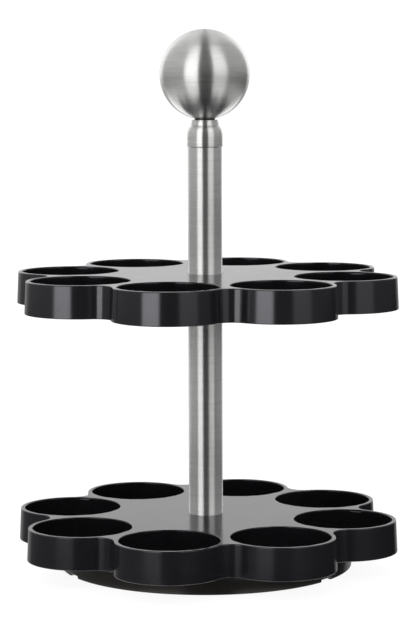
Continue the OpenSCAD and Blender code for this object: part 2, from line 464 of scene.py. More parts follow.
def two_tones(
    tree: bpy.types.NodeTree, mask: bpy.types.NodeSocket, dark: Rgb, light: Rgb
) -> bpy.types.NodeSocket:
    """A colour that runs from dark to light with a mask."""
    ramp = add_node(tree, "ShaderNodeValToRGB", i0=mask)
    for stop, position, colour in zip(ramp.color_ramp.elements, (0.3, 0.7), (dark, light)):
        stop.position = position
        stop.color = (*colour, 1.0)
    return ramp.outputs["Color"]


def lay_surface(
    shader: bpy.types.Node, group: SurfaceGroup, dark: Rgb, light: Rgb, relief: float, **feeds: object
) -> None:
    """Feeds a shader its colour, roughness and bump from a surface group.

    Args:
        shader: the material's Principled BSDF.
        group: the surface effect.
        dark: the colour where the group's mask is low.
        light: the colour where it is high.
        relief: height of the bump.
        feeds: what the group itself is fed.
    """
    tree = shader.id_data
    placed = add_node(tree, "ShaderNodeGroup", {"node_tree": group.tree}, **feeds).outputs
    bump = add_node(tree, "ShaderNodeBump", Height=placed["Height"], Distance=relief)
    colour = two_tones(tree, placed[group.mask], dark, light)
    feed(shader, Base_Color=colour, Roughness=placed["Roughness"], Normal=bump.outputs[0])


@dataclass(frozen=True)
class Moulded:
    """A finish of moulded plastic or rubber.

    Args:
        name: the material's name.
        dark: the colour where the skin is clean.
        light: the colour where it is smeared or dusty.
        roughness: the skin's own roughness.
        spread: how far the roughness wanders.
        wave_size: length of the flow waves.
        grain_size: length of the tool texture.
        grain_share: how strong the texture is beside the waves.
        relief: height of the bump.
        sheen: specular level of the shader.
        glint: tint of the reflections.
    """

    name: str
    dark: Rgb
    light: Rgb
    roughness: float
    spread: float = 0.05
    wave_size: float = 0.018
    grain_size: float = 0.0007
    grain_share: float = 0.25
    relief: float = 0.00002
    sheen: float = 0.5
    glint: Rgb = (0.94, 0.935, 1.0)

    def material(self, skin: SurfaceGroup) -> bpy.types.Material:
        """Builds the material on the shared moulded skin."""
        material, shader = blank_material(self.name)
        lay_surface(
            shader, skin, self.dark, self.light, self.relief, Place=object_place(material.node_tree),
            Wave_size=self.wave_size, Grain_size=self.grain_size, Grain_share=self.grain_share,
            Base_roughness=self.roughness, Roughness_spread=self.spread,
        )
        feed(shader, Specular_IOR_Level=self.sheen, Specular_Tint=(*self.glint, 1.0))
        return material


@dataclass(frozen=True)
class Metal:
    """A finish of brushed, turned or plated metal.

    Args:
        name: the material's name.
        dark: the colour in the grooves.
        light: the colour on the ridges.
        roughness: the roughness of the metal.
        spread: how far the roughness wanders.
        pull: how far reflections are drawn out across the marks, from 0 to 1.
        lay: which way the marks run.
        pitch: spacing of the fine lines.
        streak: length of a streak round the axis.
        relief: height of the bump.
    """

    name: str
    dark: Rgb
    light: Rgb
    roughness: float
    spread: float = 0.06
    pull: float = 0.8
    lay: Lay = Lay.TURNED
    pitch: float = 0.00035
    streak: float = 0.014
    relief: float = 0.000003

    def material(self, marks: SurfaceGroup) -> bpy.types.Material:
        """Builds the material on the shared turning marks."""
        material, shader = blank_material(self.name)
        tree = material.node_tree
        place = object_place(tree)
        if self.lay is Lay.TURNED:
            source = add_node(tree, "ShaderNodeUVMap", {"uv_map": "UVMap"}).outputs[0]
            along = add_node(tree, "ShaderNodeSeparateXYZ", Vector=source).outputs["Y"]
        else:
            along = add_node(tree, "ShaderNodeSeparateXYZ", Vector=place).outputs["Z"]
        lay_surface(
            shader, marks, self.dark, self.light, self.relief, Place=place, Along=along,
            Line_pitch=self.pitch, Streak_length=self.streak,
            Base_roughness=self.roughness, Roughness_spread=self.spread,
        )
        round_axis = add_node(tree, "ShaderNodeTangent", {"direction_type": "RADIAL", "axis": "Z"})
        feed(
            shader, Metallic=1.0, Anisotropic=self.pull, Anisotropic_Rotation=0.25,
            Tangent=round_axis.outputs[0],
        )
        return material


@dataclass
class Finishes:
    """Every finish of the carousel, built once."""

    made: dict[str, bpy.types.Material] = field(default_factory=dict)

    def __post_init__(self) -> None:
        """Builds the shared groups and the materials, named as the record's slots, and one near-black steel
        that paints the shade in the gap under the ball.
        """
        skin = moulded_skin_group()
        marks = turning_marks_group()
        plastics = (
            Moulded("moulded_black", (0.006, 0.006, 0.0069), (0.009, 0.009, 0.0103), roughness=0.16),
            Moulded(
                "base_black", (0.0068, 0.0063, 0.006), (0.0098, 0.009, 0.0086), roughness=0.19,
                glint=(1.0, 0.97, 0.93),
            ),
            Moulded(
                "foot_rubber", (0.02, 0.02, 0.021), (0.05, 0.05, 0.052), roughness=0.7,
                grain_size=0.0004, grain_share=1.2, relief=0.00006, sheen=0.3,
            ),
            Moulded("cage_plastic", (0.72, 0.7, 0.63), (0.8, 0.78, 0.71), roughness=0.42),
        )
        metals = (
            Metal("tube_steel", (0.68, 0.68, 0.67), (0.84, 0.84, 0.83), roughness=0.38, pull=1.0),
            Metal(
                "collar_steel", (0.6, 0.6, 0.59), (0.82, 0.82, 0.81), roughness=0.32, pull=1.0,
                pitch=0.0003,
            ),
            Metal(
                "ball_steel", (0.52, 0.52, 0.51), (0.68, 0.68, 0.67), roughness=0.3, pull=0.95,
                pitch=0.0004,
            ),
            Metal(
                "bearing_steel", (0.56, 0.57, 0.58), (0.68, 0.69, 0.7), roughness=0.16, pull=0.3,
                lay=Lay.STOCK,
            ),
            Metal(
                "zinc_steel", (0.5, 0.52, 0.55), (0.68, 0.7, 0.73), roughness=0.34, pull=0.2,
                lay=Lay.STOCK, pitch=0.0009, streak=0.004,
            ),
            # painted shade: this near-black steel stands in for the shadow in the gap between the ball and
            # the neck washer
            Metal(
                "shade_black_insert_steel", (0.012, 0.012, 0.013), (0.03, 0.03, 0.032), roughness=0.5, pull=0.2,
                lay=Lay.STOCK, pitch=0.0009, streak=0.004,
            ),
        )
        for finish in plastics:
            self.made[finish.name] = finish.material(skin)
        for finish in metals:
            self.made[finish.name] = finish.material(marks)

    def __getitem__(self, name: str) -> bpy.types.Material:
        """The material of that slot."""
        return self.made[name]


def dress(
    piece: bpy.types.Object, finishes: Finishes, slot: str, body: Body, replaces: Sequence[str] = ()
) -> bpy.types.Object:
    """Gives a piece its finish, its body and the nodes that it stands for, and reports it.

    Args:
        piece: the piece, in its place.
        finishes: the finishes to choose from.
        slot: the finish's name.
        body: the body that it moves with.
        replaces: the CAD nodes that it stands for.

    Returns:
        The same piece.
    """
    piece.data.materials.clear()
    piece.data.materials.append(finishes[slot])
    for face in piece.data.polygons:
        face.material_index = 0
    if replaces:
        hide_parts(*replaces)
    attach(piece, body.value)
    triangles = sum(len(face.vertices) - 2 for face in piece.data.polygons)
    LOG.info("%s: %s, rides on %s, %d triangles", piece.name, slot, body.value, triangles)
    return piece


def dress_node(node: str, finishes: Finishes, slot: str, finish: Optional[str] = None) -> None:
    """Gives a CAD node that stays its finish.

    Args:
        node: the node's name.
        finishes: the finishes to choose from.
        slot: the record's slot for it.
        finish: the finish's name, where it isn't the slot's own.
    """
    piece = frame["nodes"][node]
    material = finishes[finish or slot]
    if not piece.material_slots:
        piece.data.materials.append(material)
    for material_slot in piece.material_slots:
        material_slot.material = material
    LOG.info("%s: kept from the frame, %s", node, slot)


# ---------------------------------------------------------------- trays


@dataclass
class Tray:
    """One moulded tray: eight jar pockets round a flat deck, ribbed and hollow underneath.

    Args:
        tier: "lower" or "upper".
        ring: the tool that repeats a piece round the axis.
    """

    tier: str
    ring: RingOfCopies
    foot_flare: float = 0.7 * MM
    cup_wall: float = 1.9 * MM
    blend_radius: float = 8.0 * MM
    floor_thickness: float = 2.0 * MM
    deck_thickness: float = 2.4 * MM
    core_radius: float = 54.0 * MM
    hub_radius: float = 13.0 * MM
    hub_drop: float = 7.3 * MM
    seat_radius: float = 8.15 * MM
    seat_depth: float = 1.5 * MM
    hub_bore: float = 7.0 * MM
    rail_radii: Point = (29.5 * MM, 34.5 * MM)
    rail_drop: float = 10.4 * MM
    rib_drop: float = 8.0 * MM
    rib_thickness: float = 1.6 * MM
    rim_round: float = 0.45 * MM
    foot_round: float = 0.3 * MM
    floor_round: float = 0.8 * MM
    nick_width: float = 5.4 * MM
    nick_depth: float = 0.8 * MM
    nick_reach: float = 0.68 * MM
    nick_angle: float = math.radians(86)
    nicked: Sequence[int] = (0, 4)
    wall_shares: Sequence[float] = (0.036, 0.25, 0.5, 0.75, 0.975)
    rim_row: float = 1.2 * MM
    core_lip: Point = (0.15 * MM, 0.4 * MM)
    overlap: float = 0.5 * MM
    sharp_edge: float = math.radians(40)
    bore_steps: int = 240
    hub_steps: int = 12
    core_steps: tuple[int, int] = (3, 40)
    rim_steps: int = 6
    cup_steps: int = 72
    blend_steps: int = 12

    def __post_init__(self) -> None:
        """Reads the tray's place and its pockets from the frame."""
        low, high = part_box(f"{self.tier}_tray")
        pockets = f"{self.tier}_pocket_"
        mounts = [m for m in frame["record"]["mounts"] if m["name"].startswith(pockets)]
        self.foot = low.z
        self.top = high.z
        self.count = len(mounts)
        self.pitch = math.hypot(*mounts[0]["pos_m"][:2])
        self.bore = mounts[0]["dims"]["r_mm"] * MM
        self.cup = self.bore + self.cup_wall
        self.half_step = math.pi / self.count
        reach = self.cup + self.blend_radius
        half_gap = self.pitch * math.sin(self.half_step)
        self.blend_at = self.pitch * math.cos(self.half_step) + math.sqrt(reach**2 - half_gap**2)
        blend_y = self.blend_at * math.sin(self.half_step)
        blend_x = self.blend_at * math.cos(self.half_step)
        self.tangent = math.atan2(blend_y, blend_x - self.pitch)

    def edge(self, offset: float) -> list[Point]:
        """The outer outline of one eighth of the tray, moved outwards by an offset."""
        side = Vector((math.cos(self.half_step), math.sin(self.half_step))) * self.blend_at
        inwards = self.half_step + math.pi
        start = self.tangent + math.pi
        upper = arc(tuple(side), self.blend_radius - offset, start, inwards, self.blend_steps)
        if upper[0][1] > upper[-1][1]:
            upper.reverse()
        cup = arc((self.pitch, 0.0), self.cup + offset, -self.tangent, self.tangent, self.cup_steps)
        lower = [(x, -y) for x, y in reversed(upper)]
        return lower[:-1] + cup + upper[1:]

    def core(self, inset: float) -> list[Point]:
        """The outline of the hollow under one eighth of the deck, made smaller by an inset."""
        wall = self.cup + inset
        rim = self.core_radius - inset
        meet = math.acos((self.pitch**2 + rim**2 - wall**2) / (2 * self.pitch * rim))
        corner = math.atan2(rim * math.sin(meet), rim * math.cos(meet) - self.pitch)
        rim_part = arc((0.0, 0.0), rim, -self.half_step, -meet, self.core_steps[0])
        cup_part = arc((self.pitch, 0.0), wall, TURN - corner, corner, self.core_steps[1])
        return rim_part[:-1] + cup_part + [(x, -y) for x, y in reversed(rim_part[:-1])]

    def sector(self) -> bpy.types.Object:
        """One eighth of the shell, cut through the middle of two blends, ready to be welded."""
        mesh = bmesh.new()
        top, foot = self.top, self.foot

        def row(points: Outline, height: float) -> list[bmesh.types.BMVert]:
            """A row of points at one height."""
            return [mesh.verts.new((x, y, height)) for x, y in points]

        def cap(border: Sequence[bmesh.types.BMVert], hole: Sequence[bmesh.types.BMVert] = ()) -> None:
            """A flat face with at most one hole."""
            points = [v.co.xy / MM for v in (*border, *hole)]
            edges = [(len(border) + k, len(border) + (k + 1) % len(hole)) for k in range(len(hole))]
            inside_only, nearness = 1, 1e-6
            outline = list(range(len(border)))
            _, _, faces, origins, *_ = delaunay_2d_cdt(points, edges, [outline], inside_only, nearness)
            verts = [*border, *hole]
            for corners in faces:
                chosen = [verts[origins[c][0]] for c in corners]
                middle = sum((v.co.xy for v in chosen), Vector((0, 0))) / len(chosen)
                if hole and (middle - Vector((self.pitch, 0))).length < self.bore:
                    continue
                mesh.faces.new(chosen).smooth = False

        e, f, g = self.rim_round, self.foot_round, self.floor_round
        flare = self.foot_flare
        wall = fillet([(-2 * e, top, 0), (0, top, e), (flare, foot, f), (-2 * e, foot, 0)])[1:-1]
        middles = [(flare * s, top + (foot - top) * s) for s in self.wall_shares]
        half = len(wall) // 2
        sides = [row(self.edge(o), z) for o, z in wall[:half] + middles + wall[half:]]
        bridge(mesh, sides)

        floor = foot + self.floor_thickness
        arcs = fillet([(0, top, 0), (0, floor, g), (self.bore, floor, 0)])[1:-1]
        quarter = [math.pi / 2 * k / self.rim_steps for k in range(self.rim_steps + 1)]
        bore_rows = [(self.bore + e - e * math.sin(a), top - e + e * math.cos(a)) for a in quarter]
        bore_rows += [(self.bore, top - self.rim_row), (self.bore, (top + floor) / 2)]
        bore_rows += [(self.bore - x, z) for x, z in arcs]
        centre = (self.pitch, 0.0)
        bores = [row(arc(centre, r, 0, TURN, self.bore_steps)[:-1], z) for r, z in bore_rows]
        bridge(mesh, bores, closed=True)
        mesh.faces.new(bores[-1]).smooth = False

        seat, bore, depth, ceiling = self.seat_radius, self.hub_bore, self.seat_depth, self.deck_thickness
        hub_rows = [
            (seat + e, 0), (seat, e), (seat, depth), (bore, depth), (bore, self.hub_drop - depth),
            (seat, self.hub_drop - depth), (seat, self.hub_drop), (self.hub_radius, self.hub_drop),
            (self.hub_radius, ceiling),
        ]
        middle, across = (0.0, 0.0), (-self.half_step, self.half_step, self.hub_steps)
        hub = [row(arc(middle, r, *across), top - z) for r, z in hub_rows]
        bridge(mesh, hub)

        lip, lip_height = self.core_lip
        core_rows = [(0.0, foot), (lip, foot + lip_height), (lip, top - ceiling)]
        core = [row(self.core(inset), z) for inset, z in core_rows]
        bridge(mesh, core)

        cap([*hub[0], *reversed(sides[0])], bores[0])
        cap([*core[0], *reversed(sides[-1])])
        cap([*hub[-1], *reversed(core[-1])])
        return finished(f"{self.tier}_tray_eighth", mesh)

    def cut_nicks(self, shell: bpy.types.Object) -> None:
        """Presses the two small nicks into the rims of the pockets that have them."""
        e = self.rim_round
        near = 0.01 * MM
        full_reach = self.nick_reach + 0.1 * MM
        for pocket in self.nicked:
            radius_angle = TURN * pocket / self.count
            side = 1 if pocket == 0 else -1
            at = radius_angle + side * self.nick_angle
            centre = Vector((math.cos(radius_angle), math.sin(radius_angle))) * self.pitch
            for vertex in shell.data.vertices:
                spoke = vertex.co.xy - centre
                depth = self.top - vertex.co.z
                reach = spoke.length - self.bore
                if not (-near < reach < e + near and depth < e + near):
                    continue
                off = abs((math.atan2(spoke.y, spoke.x) - at + math.pi) % TURN - math.pi) * self.bore
                if off > self.nick_width / 2:
                    continue
                share = min(1.0, math.atan2(e - reach, e - depth) / (math.pi / 2))
                moved = centre + spoke.normalized() * (self.bore + full_reach - full_reach * share)
                vertex.co = (moved.x, moved.y, self.top - self.nick_depth * share)

    def shell(self, finish: bpy.types.Material) -> bpy.types.Object:
        """The tray's shell: eight welded sectors with their nicks."""
        name, weld = f"{self.tier}_tray_shell", 0.004 * MM
        shell = self.ring.make(name, self.sector(), self.count, finish, weld=weld)
        mesh = bmesh.new()
        mesh.from_mesh(shell.data)
        bmesh.ops.recalc_face_normals(mesh, faces=mesh.faces)
        for edge in mesh.edges:
            if edge.is_manifold and edge.calc_face_angle() > self.sharp_edge:
                edge.smooth = False
        mesh.to_mesh(shell.data)
        mesh.free()
        self.cut_nicks(shell)
        return shell

    def ribs(self, finish: bpy.types.Material) -> bpy.types.Object:
        """The ribs under the deck, from the hub to each pocket's wall."""
        start = self.hub_radius - self.overlap
        end = self.pitch - self.cup + self.overlap
        half, edge = self.rib_thickness / 2, 0.4 * MM
        low, high = self.top - self.rib_drop, self.top - self.deck_thickness / 2
        corners = fillet([(-half, high, 0), (-half, low, edge), (half, low, edge), (half, high, 0)])
        mesh = bmesh.new()
        near = [mesh.verts.new((start, y, z)) for y, z in corners]
        far = [mesh.verts.new((end, y, z)) for y, z in corners]
        mesh.faces.new(near)
        mesh.faces.new(far)
        bridge(mesh, [near, far], closed=True)
        bmesh.ops.recalc_face_normals(mesh, faces=mesh.faces)
        rib = finished(f"{self.tier}_tray_rib", mesh, crease=math.radians(30))
        return self.ring.make(f"{self.tier}_tray_ribs", rib, self.count, finish)

    def rail(self) -> bpy.types.Object:
        """The ring under the deck that a bearing race can sit against."""
        inner, outer = self.rail_radii
        low, high = self.top - self.rail_drop, self.top - self.deck_thickness / 2
        edge = 0.3 * MM
        outline = fillet([(inner, high, 0), (inner, low, edge), (outer, low, edge), (outer, high, 0)], 3)
        return turned(f"{self.tier}_tray_rail", outline)

    def build(self, finishes: Finishes) -> None:
        """Makes and dresses the tray's pieces."""
        black = finishes["moulded_black"]
        dress(self.shell(black), finishes, "moulded_black", Body.CAROUSEL, [f"{self.tier}_tray"])
        dress(self.ribs(black), finishes, "moulded_black", Body.CAROUSEL)
        dress(self.rail(), finishes, "moulded_black", Body.CAROUSEL)


# ---------------------------------------------------------------- column


@dataclass
class Column:
    """The steel column: two tubes, the collar, the neck washer and the ball on top."""

    tube_wall: float = 1.0 * MM
    chamfer: float = 0.3 * MM
    rod_hole: float = 3.1 * MM
    plug_radius: float = 6.95 * MM
    plug_reach: float = 14.0 * MM
    collar_straight: float = 4.9 * MM
    collar_round: float = 0.35 * MM
    neck_top: float = 6.2 * MM
    neck_round: float = 0.35 * MM
    shoulder_sweep: float = math.radians(70)
    ball_shell: float = 1.0 * MM
    insert_radius: float = 4.7 * MM
    shoulder_steps: int = 14
    ball_steps: int = 72

    def tube(self, name: str) -> bpy.types.Object:
        """A tube with its ends lightly chamfered."""
        low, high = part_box(name)
        outer, cut = high.x, self.chamfer
        inner = outer - self.tube_wall
        outline = [
            (inner, low.z + cut), (inner + cut, low.z), (outer - cut, low.z), (outer, low.z + cut),
            (outer, high.z - cut), (outer - cut, high.z), (inner + cut, high.z), (inner, high.z - cut),
        ]
        return turned(f"{name}_piece", outline, steps=192)

    def collar(self) -> bpy.types.Object:
        """The ferrule: a short cylinder, an oval shoulder and a spigot down into the tube."""
        low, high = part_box("collar")
        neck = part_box("neck_washer")[1].x
        outer, foot = high.x, low.z + self.plug_reach
        straight = foot + self.collar_straight
        oval_radius = (outer - neck) / (1 - math.cos(self.shoulder_sweep))
        oval_height = (high.z - straight) / math.sin(self.shoulder_sweep)
        steps = range(self.shoulder_steps + 1)
        shoulder = [
            (outer - oval_radius * (1 - math.cos(a)), straight + oval_height * math.sin(a))
            for a in (self.shoulder_sweep * k / self.shoulder_steps for k in steps)
        ]
        plug, hole = self.plug_radius, self.rod_hole
        edge = fillet([(plug, foot, 0), (outer, foot, self.collar_round), (outer, straight, 0)])
        outline = [(hole, low.z), (plug, low.z), *edge[:-1], *shoulder, (hole, high.z)]
        return turned("collar_piece", outline, steps=192)

    def neck_washer(self) -> bpy.types.Object:
        """The small cone under the ball, its upper edge rounded."""
        low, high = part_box("neck_washer")
        outline = fillet([
            (self.rod_hole, low.z, 0), (high.x, low.z, 0),
            (self.neck_top, high.z, self.neck_round), (self.rod_hole, high.z, 0),
        ])
        return turned("neck_washer_piece", outline, steps=192)

    def ball(self) -> bpy.types.Object:
        """The hollow ball, open at the bottom round its threaded insert."""
        low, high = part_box("ball_knob")
        outer = high.x
        centre = high.z - outer
        inner = outer - self.ball_shell

        def shell(radius: float, steps: int) -> list[Point]:
            """Points from the hole's edge up to the pole."""
            start = math.asin(self.insert_radius / radius)
            angles = [start + (math.pi - start) * k / steps for k in range(steps + 1)]
            return [(max(0.0, radius * math.sin(a)), centre - radius * math.cos(a)) for a in angles]

        skin, lining = shell(outer, self.ball_steps), shell(inner, self.ball_steps // 2)
        skin[-1], lining[-1] = (0.0, centre + outer), (0.0, centre + inner)
        return turned("ball_piece", [*skin, *reversed(lining)], steps=192)

    def build(self, finishes: Finishes) -> None:
        """Makes and dresses the column's pieces and the parts hidden in it."""
        for name in ("lower_tube", "upper_tube"):
            dress(self.tube(name), finishes, "tube_steel", Body.CAROUSEL, [name])
        dress(self.collar(), finishes, "collar_steel", Body.CAROUSEL, ["collar"])
        dress(self.neck_washer(), finishes, "collar_steel", Body.CAROUSEL, ["neck_washer"])
        dress(self.ball(), finishes, "ball_steel", Body.CAROUSEL, ["ball_knob"])
        for name in ("tie_rod", "lower_tube_plug", "middle_tube_plug"):
            dress_node(name, finishes, "zinc_steel")
        # painted shade: the zinc insert takes near-black steel so the gap under the ball reads as a dark
        # shadow line
        dress_node("knob_insert", finishes, "zinc_steel", "shade_black_insert_steel")


# ---------------------------------------------------------------- base and bearing


@dataclass
class Base:
    """The round base with its notched skirt, feet, pivot bush and the fastening under it.

    Args:
        ring: the tool that repeats a piece round the axis.
    """

    ring: RingOfCopies
    skirt: float = 2.2 * MM
    deck: float = 2.0 * MM
    hub_radius: float = 12.0 * MM
    bush_radius: float = 8.0 * MM
    top_round: float = 1.0 * MM
    lip_round: float = 0.5 * MM
    lip_inner_round: float = 0.15 * MM
    deck_top: float = 8.3 * MM
    foot_ring: float = 60.0 * MM
    foot_radius: float = 4.0 * MM
    foot_height: float = 2.2 * MM
    foot_count: int = 6
    dish_depth: float = 0.25 * MM
    boss_rim: float = 1.0 * MM
    boss_overlap: float = 0.5 * MM
    notch_width: float = 8.2 * MM
    notch_height: float = 1.1 * MM
    notch_at: float = math.radians(99.7)
    notch_spread: float = math.radians(58)
    notch_flank: float = 0.003
    notch_slack: float = 0.001
    near_lip: float = 0.1 * MM
    notch_steps: int = 8
    plain_steps: int = 64
    nut_flats: float = 10.0 * MM
    nut_hole: float = 3.0 * MM
    nut_edge: float = 0.3 * MM
    nut_steps: int = 72
    rod_hole: float = 3.1 * MM

    def notches(self) -> list[float]:
        """The angles of the notches: one alone, and two opposite it."""
        across = self.notch_at + math.pi
        return [self.notch_at, across - self.notch_spread, across + self.notch_spread]

    def pan_angles(self) -> list[float]:
        """Steps round the pan, with a close pair at each side of a notch."""
        half = self.notch_width / 2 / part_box("base_pan")[1].x
        side = self.notch_flank
        angles: list[float] = []
        places = self.notches()
        for here, after in zip(places, places[1:] + [places[0] + TURN]):
            start, end = here + half + side, after - half - side
            cuts = [2 * half * k / self.notch_steps for k in range(self.notch_steps + 1)]
            plain = [(end - start) * k / self.plain_steps for k in range(self.plain_steps)]
            angles += [here - half - side, *(here - half + a for a in cuts), *(start + a for a in plain)]
        return angles

    def at_feet(self, name: str, copy: bpy.types.Object, finish: bpy.types.Material) -> bpy.types.Object:
        """Repeats a piece at every foot, the first of them half a foot's step from the lone notch."""
        first = self.notch_at + TURN / self.foot_count / 2
        return self.ring.make(
            name, copy, self.foot_count, finish, radius=self.foot_ring, first_angle=first
        )

    def pan(self, finishes: Finishes) -> bpy.types.Object:
        """The pan: deck, skirt with notches, hub and the bosses over the feet."""
        low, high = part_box("base_pan")
        outer, lip, hub_top = high.x, low.z, high.z
        under = self.deck_top - self.deck
        inner = outer - self.skirt
        half = self.notch_width / 2 / outer + self.notch_slack

        def notch(angle: float, radius: float, height: float) -> float:
            """How far the lip is lifted at an angle."""
            off = min(abs((angle - place + math.pi) % TURN - math.pi) for place in self.notches())
            outside = radius > inner - self.near_lip
            at_lip = outside and height < lip + self.lip_round + self.near_lip
            return self.notch_height if at_lip and off < half else 0.0

        outline = fillet([
            (inner, lip, self.lip_inner_round), (outer, lip, self.lip_round),
            (outer, self.deck_top, self.top_round),
            (self.hub_radius, self.deck_top, 0.4 * MM), (self.hub_radius, hub_top, 0.3 * MM),
            (self.bush_radius, hub_top, 0), (self.bush_radius, under, 0), (inner, under, 0.6 * MM),
        ])
        pan = turned("base_pan_skin", outline, angles=self.pan_angles(), lift=notch)
        side, sole, end = self.foot_radius + self.boss_rim, self.foot_height, under + self.boss_overlap
        section = fillet([(0, sole, 0), (side, sole, 0.3 * MM), (side, end, 0), (0, end, 0)], 3)
        bosses = self.at_feet("foot_bosses", turned("foot_boss", section, steps=48), finishes["base_black"])
        return joined("base_pan_piece", [pan, bosses])

    def feet(self, finishes: Finishes) -> bpy.types.Object:
        """The rubber feet, each with a rounded sole edge and a shallow dish."""
        r, h, dish = self.foot_radius, self.foot_height, self.dish_depth
        outline = fillet([
            (0, dish, 0), (r * 0.55, dish, 0.1 * MM), (r * 0.7, 0, 0.3 * MM),
            (r, 0, 0.45 * MM), (r, h, 0), (0, h, 0),
        ], 4)
        foot = turned("foot", outline, steps=48)
        return self.at_feet("rubber_feet_piece", foot, finishes["foot_rubber"])

    def washer(self) -> bpy.types.Object:
        """The retaining washer, its outer edges rounded as a stamping's are."""
        low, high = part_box("retaining_washer")
        outline = fillet([
            (self.rod_hole, low.z, 0.1 * MM), (high.x, low.z, 0.3 * MM),
            (high.x, high.z, 0.2 * MM), (self.rod_hole, high.z, 0.1 * MM),
        ], 4)
        return turned("retaining_washer_piece", outline, steps=96)

    def nut(self) -> bpy.types.Object:
        """The hexagon nut, its corners turned to a chamfer on both faces."""
        low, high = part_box("lock_nut")
        corner = self.nut_flats / 2 / math.cos(math.pi / 6)
        flat = self.nut_flats / 2
        drop = (corner - flat) * math.tan(math.radians(30))
        mesh = bmesh.new()
        steps = self.nut_steps
        angles = [TURN * k / steps for k in range(steps)]
        sides = [flat / math.cos(a % (math.pi / 3) - math.pi / 6) for a in angles]
        falls = [drop * (side - flat) / (corner - flat) for side in sides]
        hole, edge = self.nut_hole, self.nut_edge

        def ring_at(radii: Sequence[float], heights: Sequence[float]) -> list[bmesh.types.BMVert]:
            """A ring whose radius and height follow the angle."""
            places = zip(angles, radii, heights)
            return [mesh.verts.new((r * math.cos(a), r * math.sin(a), z)) for a, r, z in places]

        def even(value: float) -> list[float]:
            """The same value all the way round."""
            return [value] * steps

        rings = [
            ring_at(even(hole), even(low.z + edge)),
            ring_at(even(hole + edge), even(low.z)),
            ring_at(even(flat), even(low.z)),
            ring_at(sides, [low.z + fall for fall in falls]),
            ring_at(sides, [high.z - fall for fall in falls]),
            ring_at(even(flat), even(high.z)),
            ring_at(even(hole), even(high.z)),
        ]
        bridge(mesh, [*rings, rings[0]], closed=True)
        bmesh.ops.remove_doubles(mesh, verts=mesh.verts, dist=1e-7)
        bmesh.ops.recalc_face_normals(mesh, faces=mesh.faces)
        return finished("lock_nut_piece", mesh, crease=math.radians(20))

    def build(self, finishes: Finishes) -> None:
        """Makes and dresses the base's pieces."""
        dress(self.pan(finishes), finishes, "base_black", Body.BASE, ["base_pan"])
        dress(self.feet(finishes), finishes, "foot_rubber", Body.BASE, ["rubber_feet"])
        dress(self.washer(), finishes, "zinc_steel", Body.CAROUSEL, ["retaining_washer"])
        dress(self.nut(), finishes, "zinc_steel", Body.CAROUSEL, ["lock_nut"])
        dress_node("pivot_bush", finishes, "cage_plastic")
        dress_node("pivot_sleeve", finishes, "zinc_steel")


@dataclass
class Bearing:
    """The thrust bearing between the base and the lower tray.

    Args:
        ring: the tool that repeats a piece round the axis.
    """

    ring: RingOfCopies
    ball_radius: float = 2.0 * MM
    ball_count: int = 12
    ball_steps: int = 14

    def balls(self, finishes: Finishes) -> bpy.types.Object:
        """The ring of balls in the cage."""
        low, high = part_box("bearing_balls")
        r, n = self.ball_radius, self.ball_steps
        half = [(r * math.sin(math.pi * k / n), -r * math.cos(math.pi * k / n)) for k in range(n + 1)]
        half[0], half[-1] = (0.0, -r), (0.0, r)
        ball = turned("bearing_ball", half, steps=28)
        return self.ring.make(
            "bearing_balls_piece", ball, self.ball_count, finishes["bearing_steel"],
            radius=high.x - r, height=(low.z + high.z) / 2,
        )

    def build(self, finishes: Finishes) -> None:
        """Makes and dresses the bearing's pieces."""
        dress(self.balls(finishes), finishes, "bearing_steel", Body.CAGE, ["bearing_balls"])
        dress_node("ball_cage", finishes, "cage_plastic")
        dress_node("lower_race", finishes, "bearing_steel")
        dress_node("upper_race", finishes, "bearing_steel")


# ---------------------------------------------------------------- studio


@dataclass(frozen=True)
class Panel:
    """A stretch of the studio's wall, between two angles to the camera's right, in degrees.

    Args:
        start: where it starts.
        end: where it ends.
        high: how bright it is well above the object's level.
        level: how bright it is at the object's level.
        low: how bright it is just below that, where the floor hides it from the trays.
        under: how bright the floor below looks from above.
    """

    start: float
    end: float
    high: float
    level: float
    low: float
    under: float


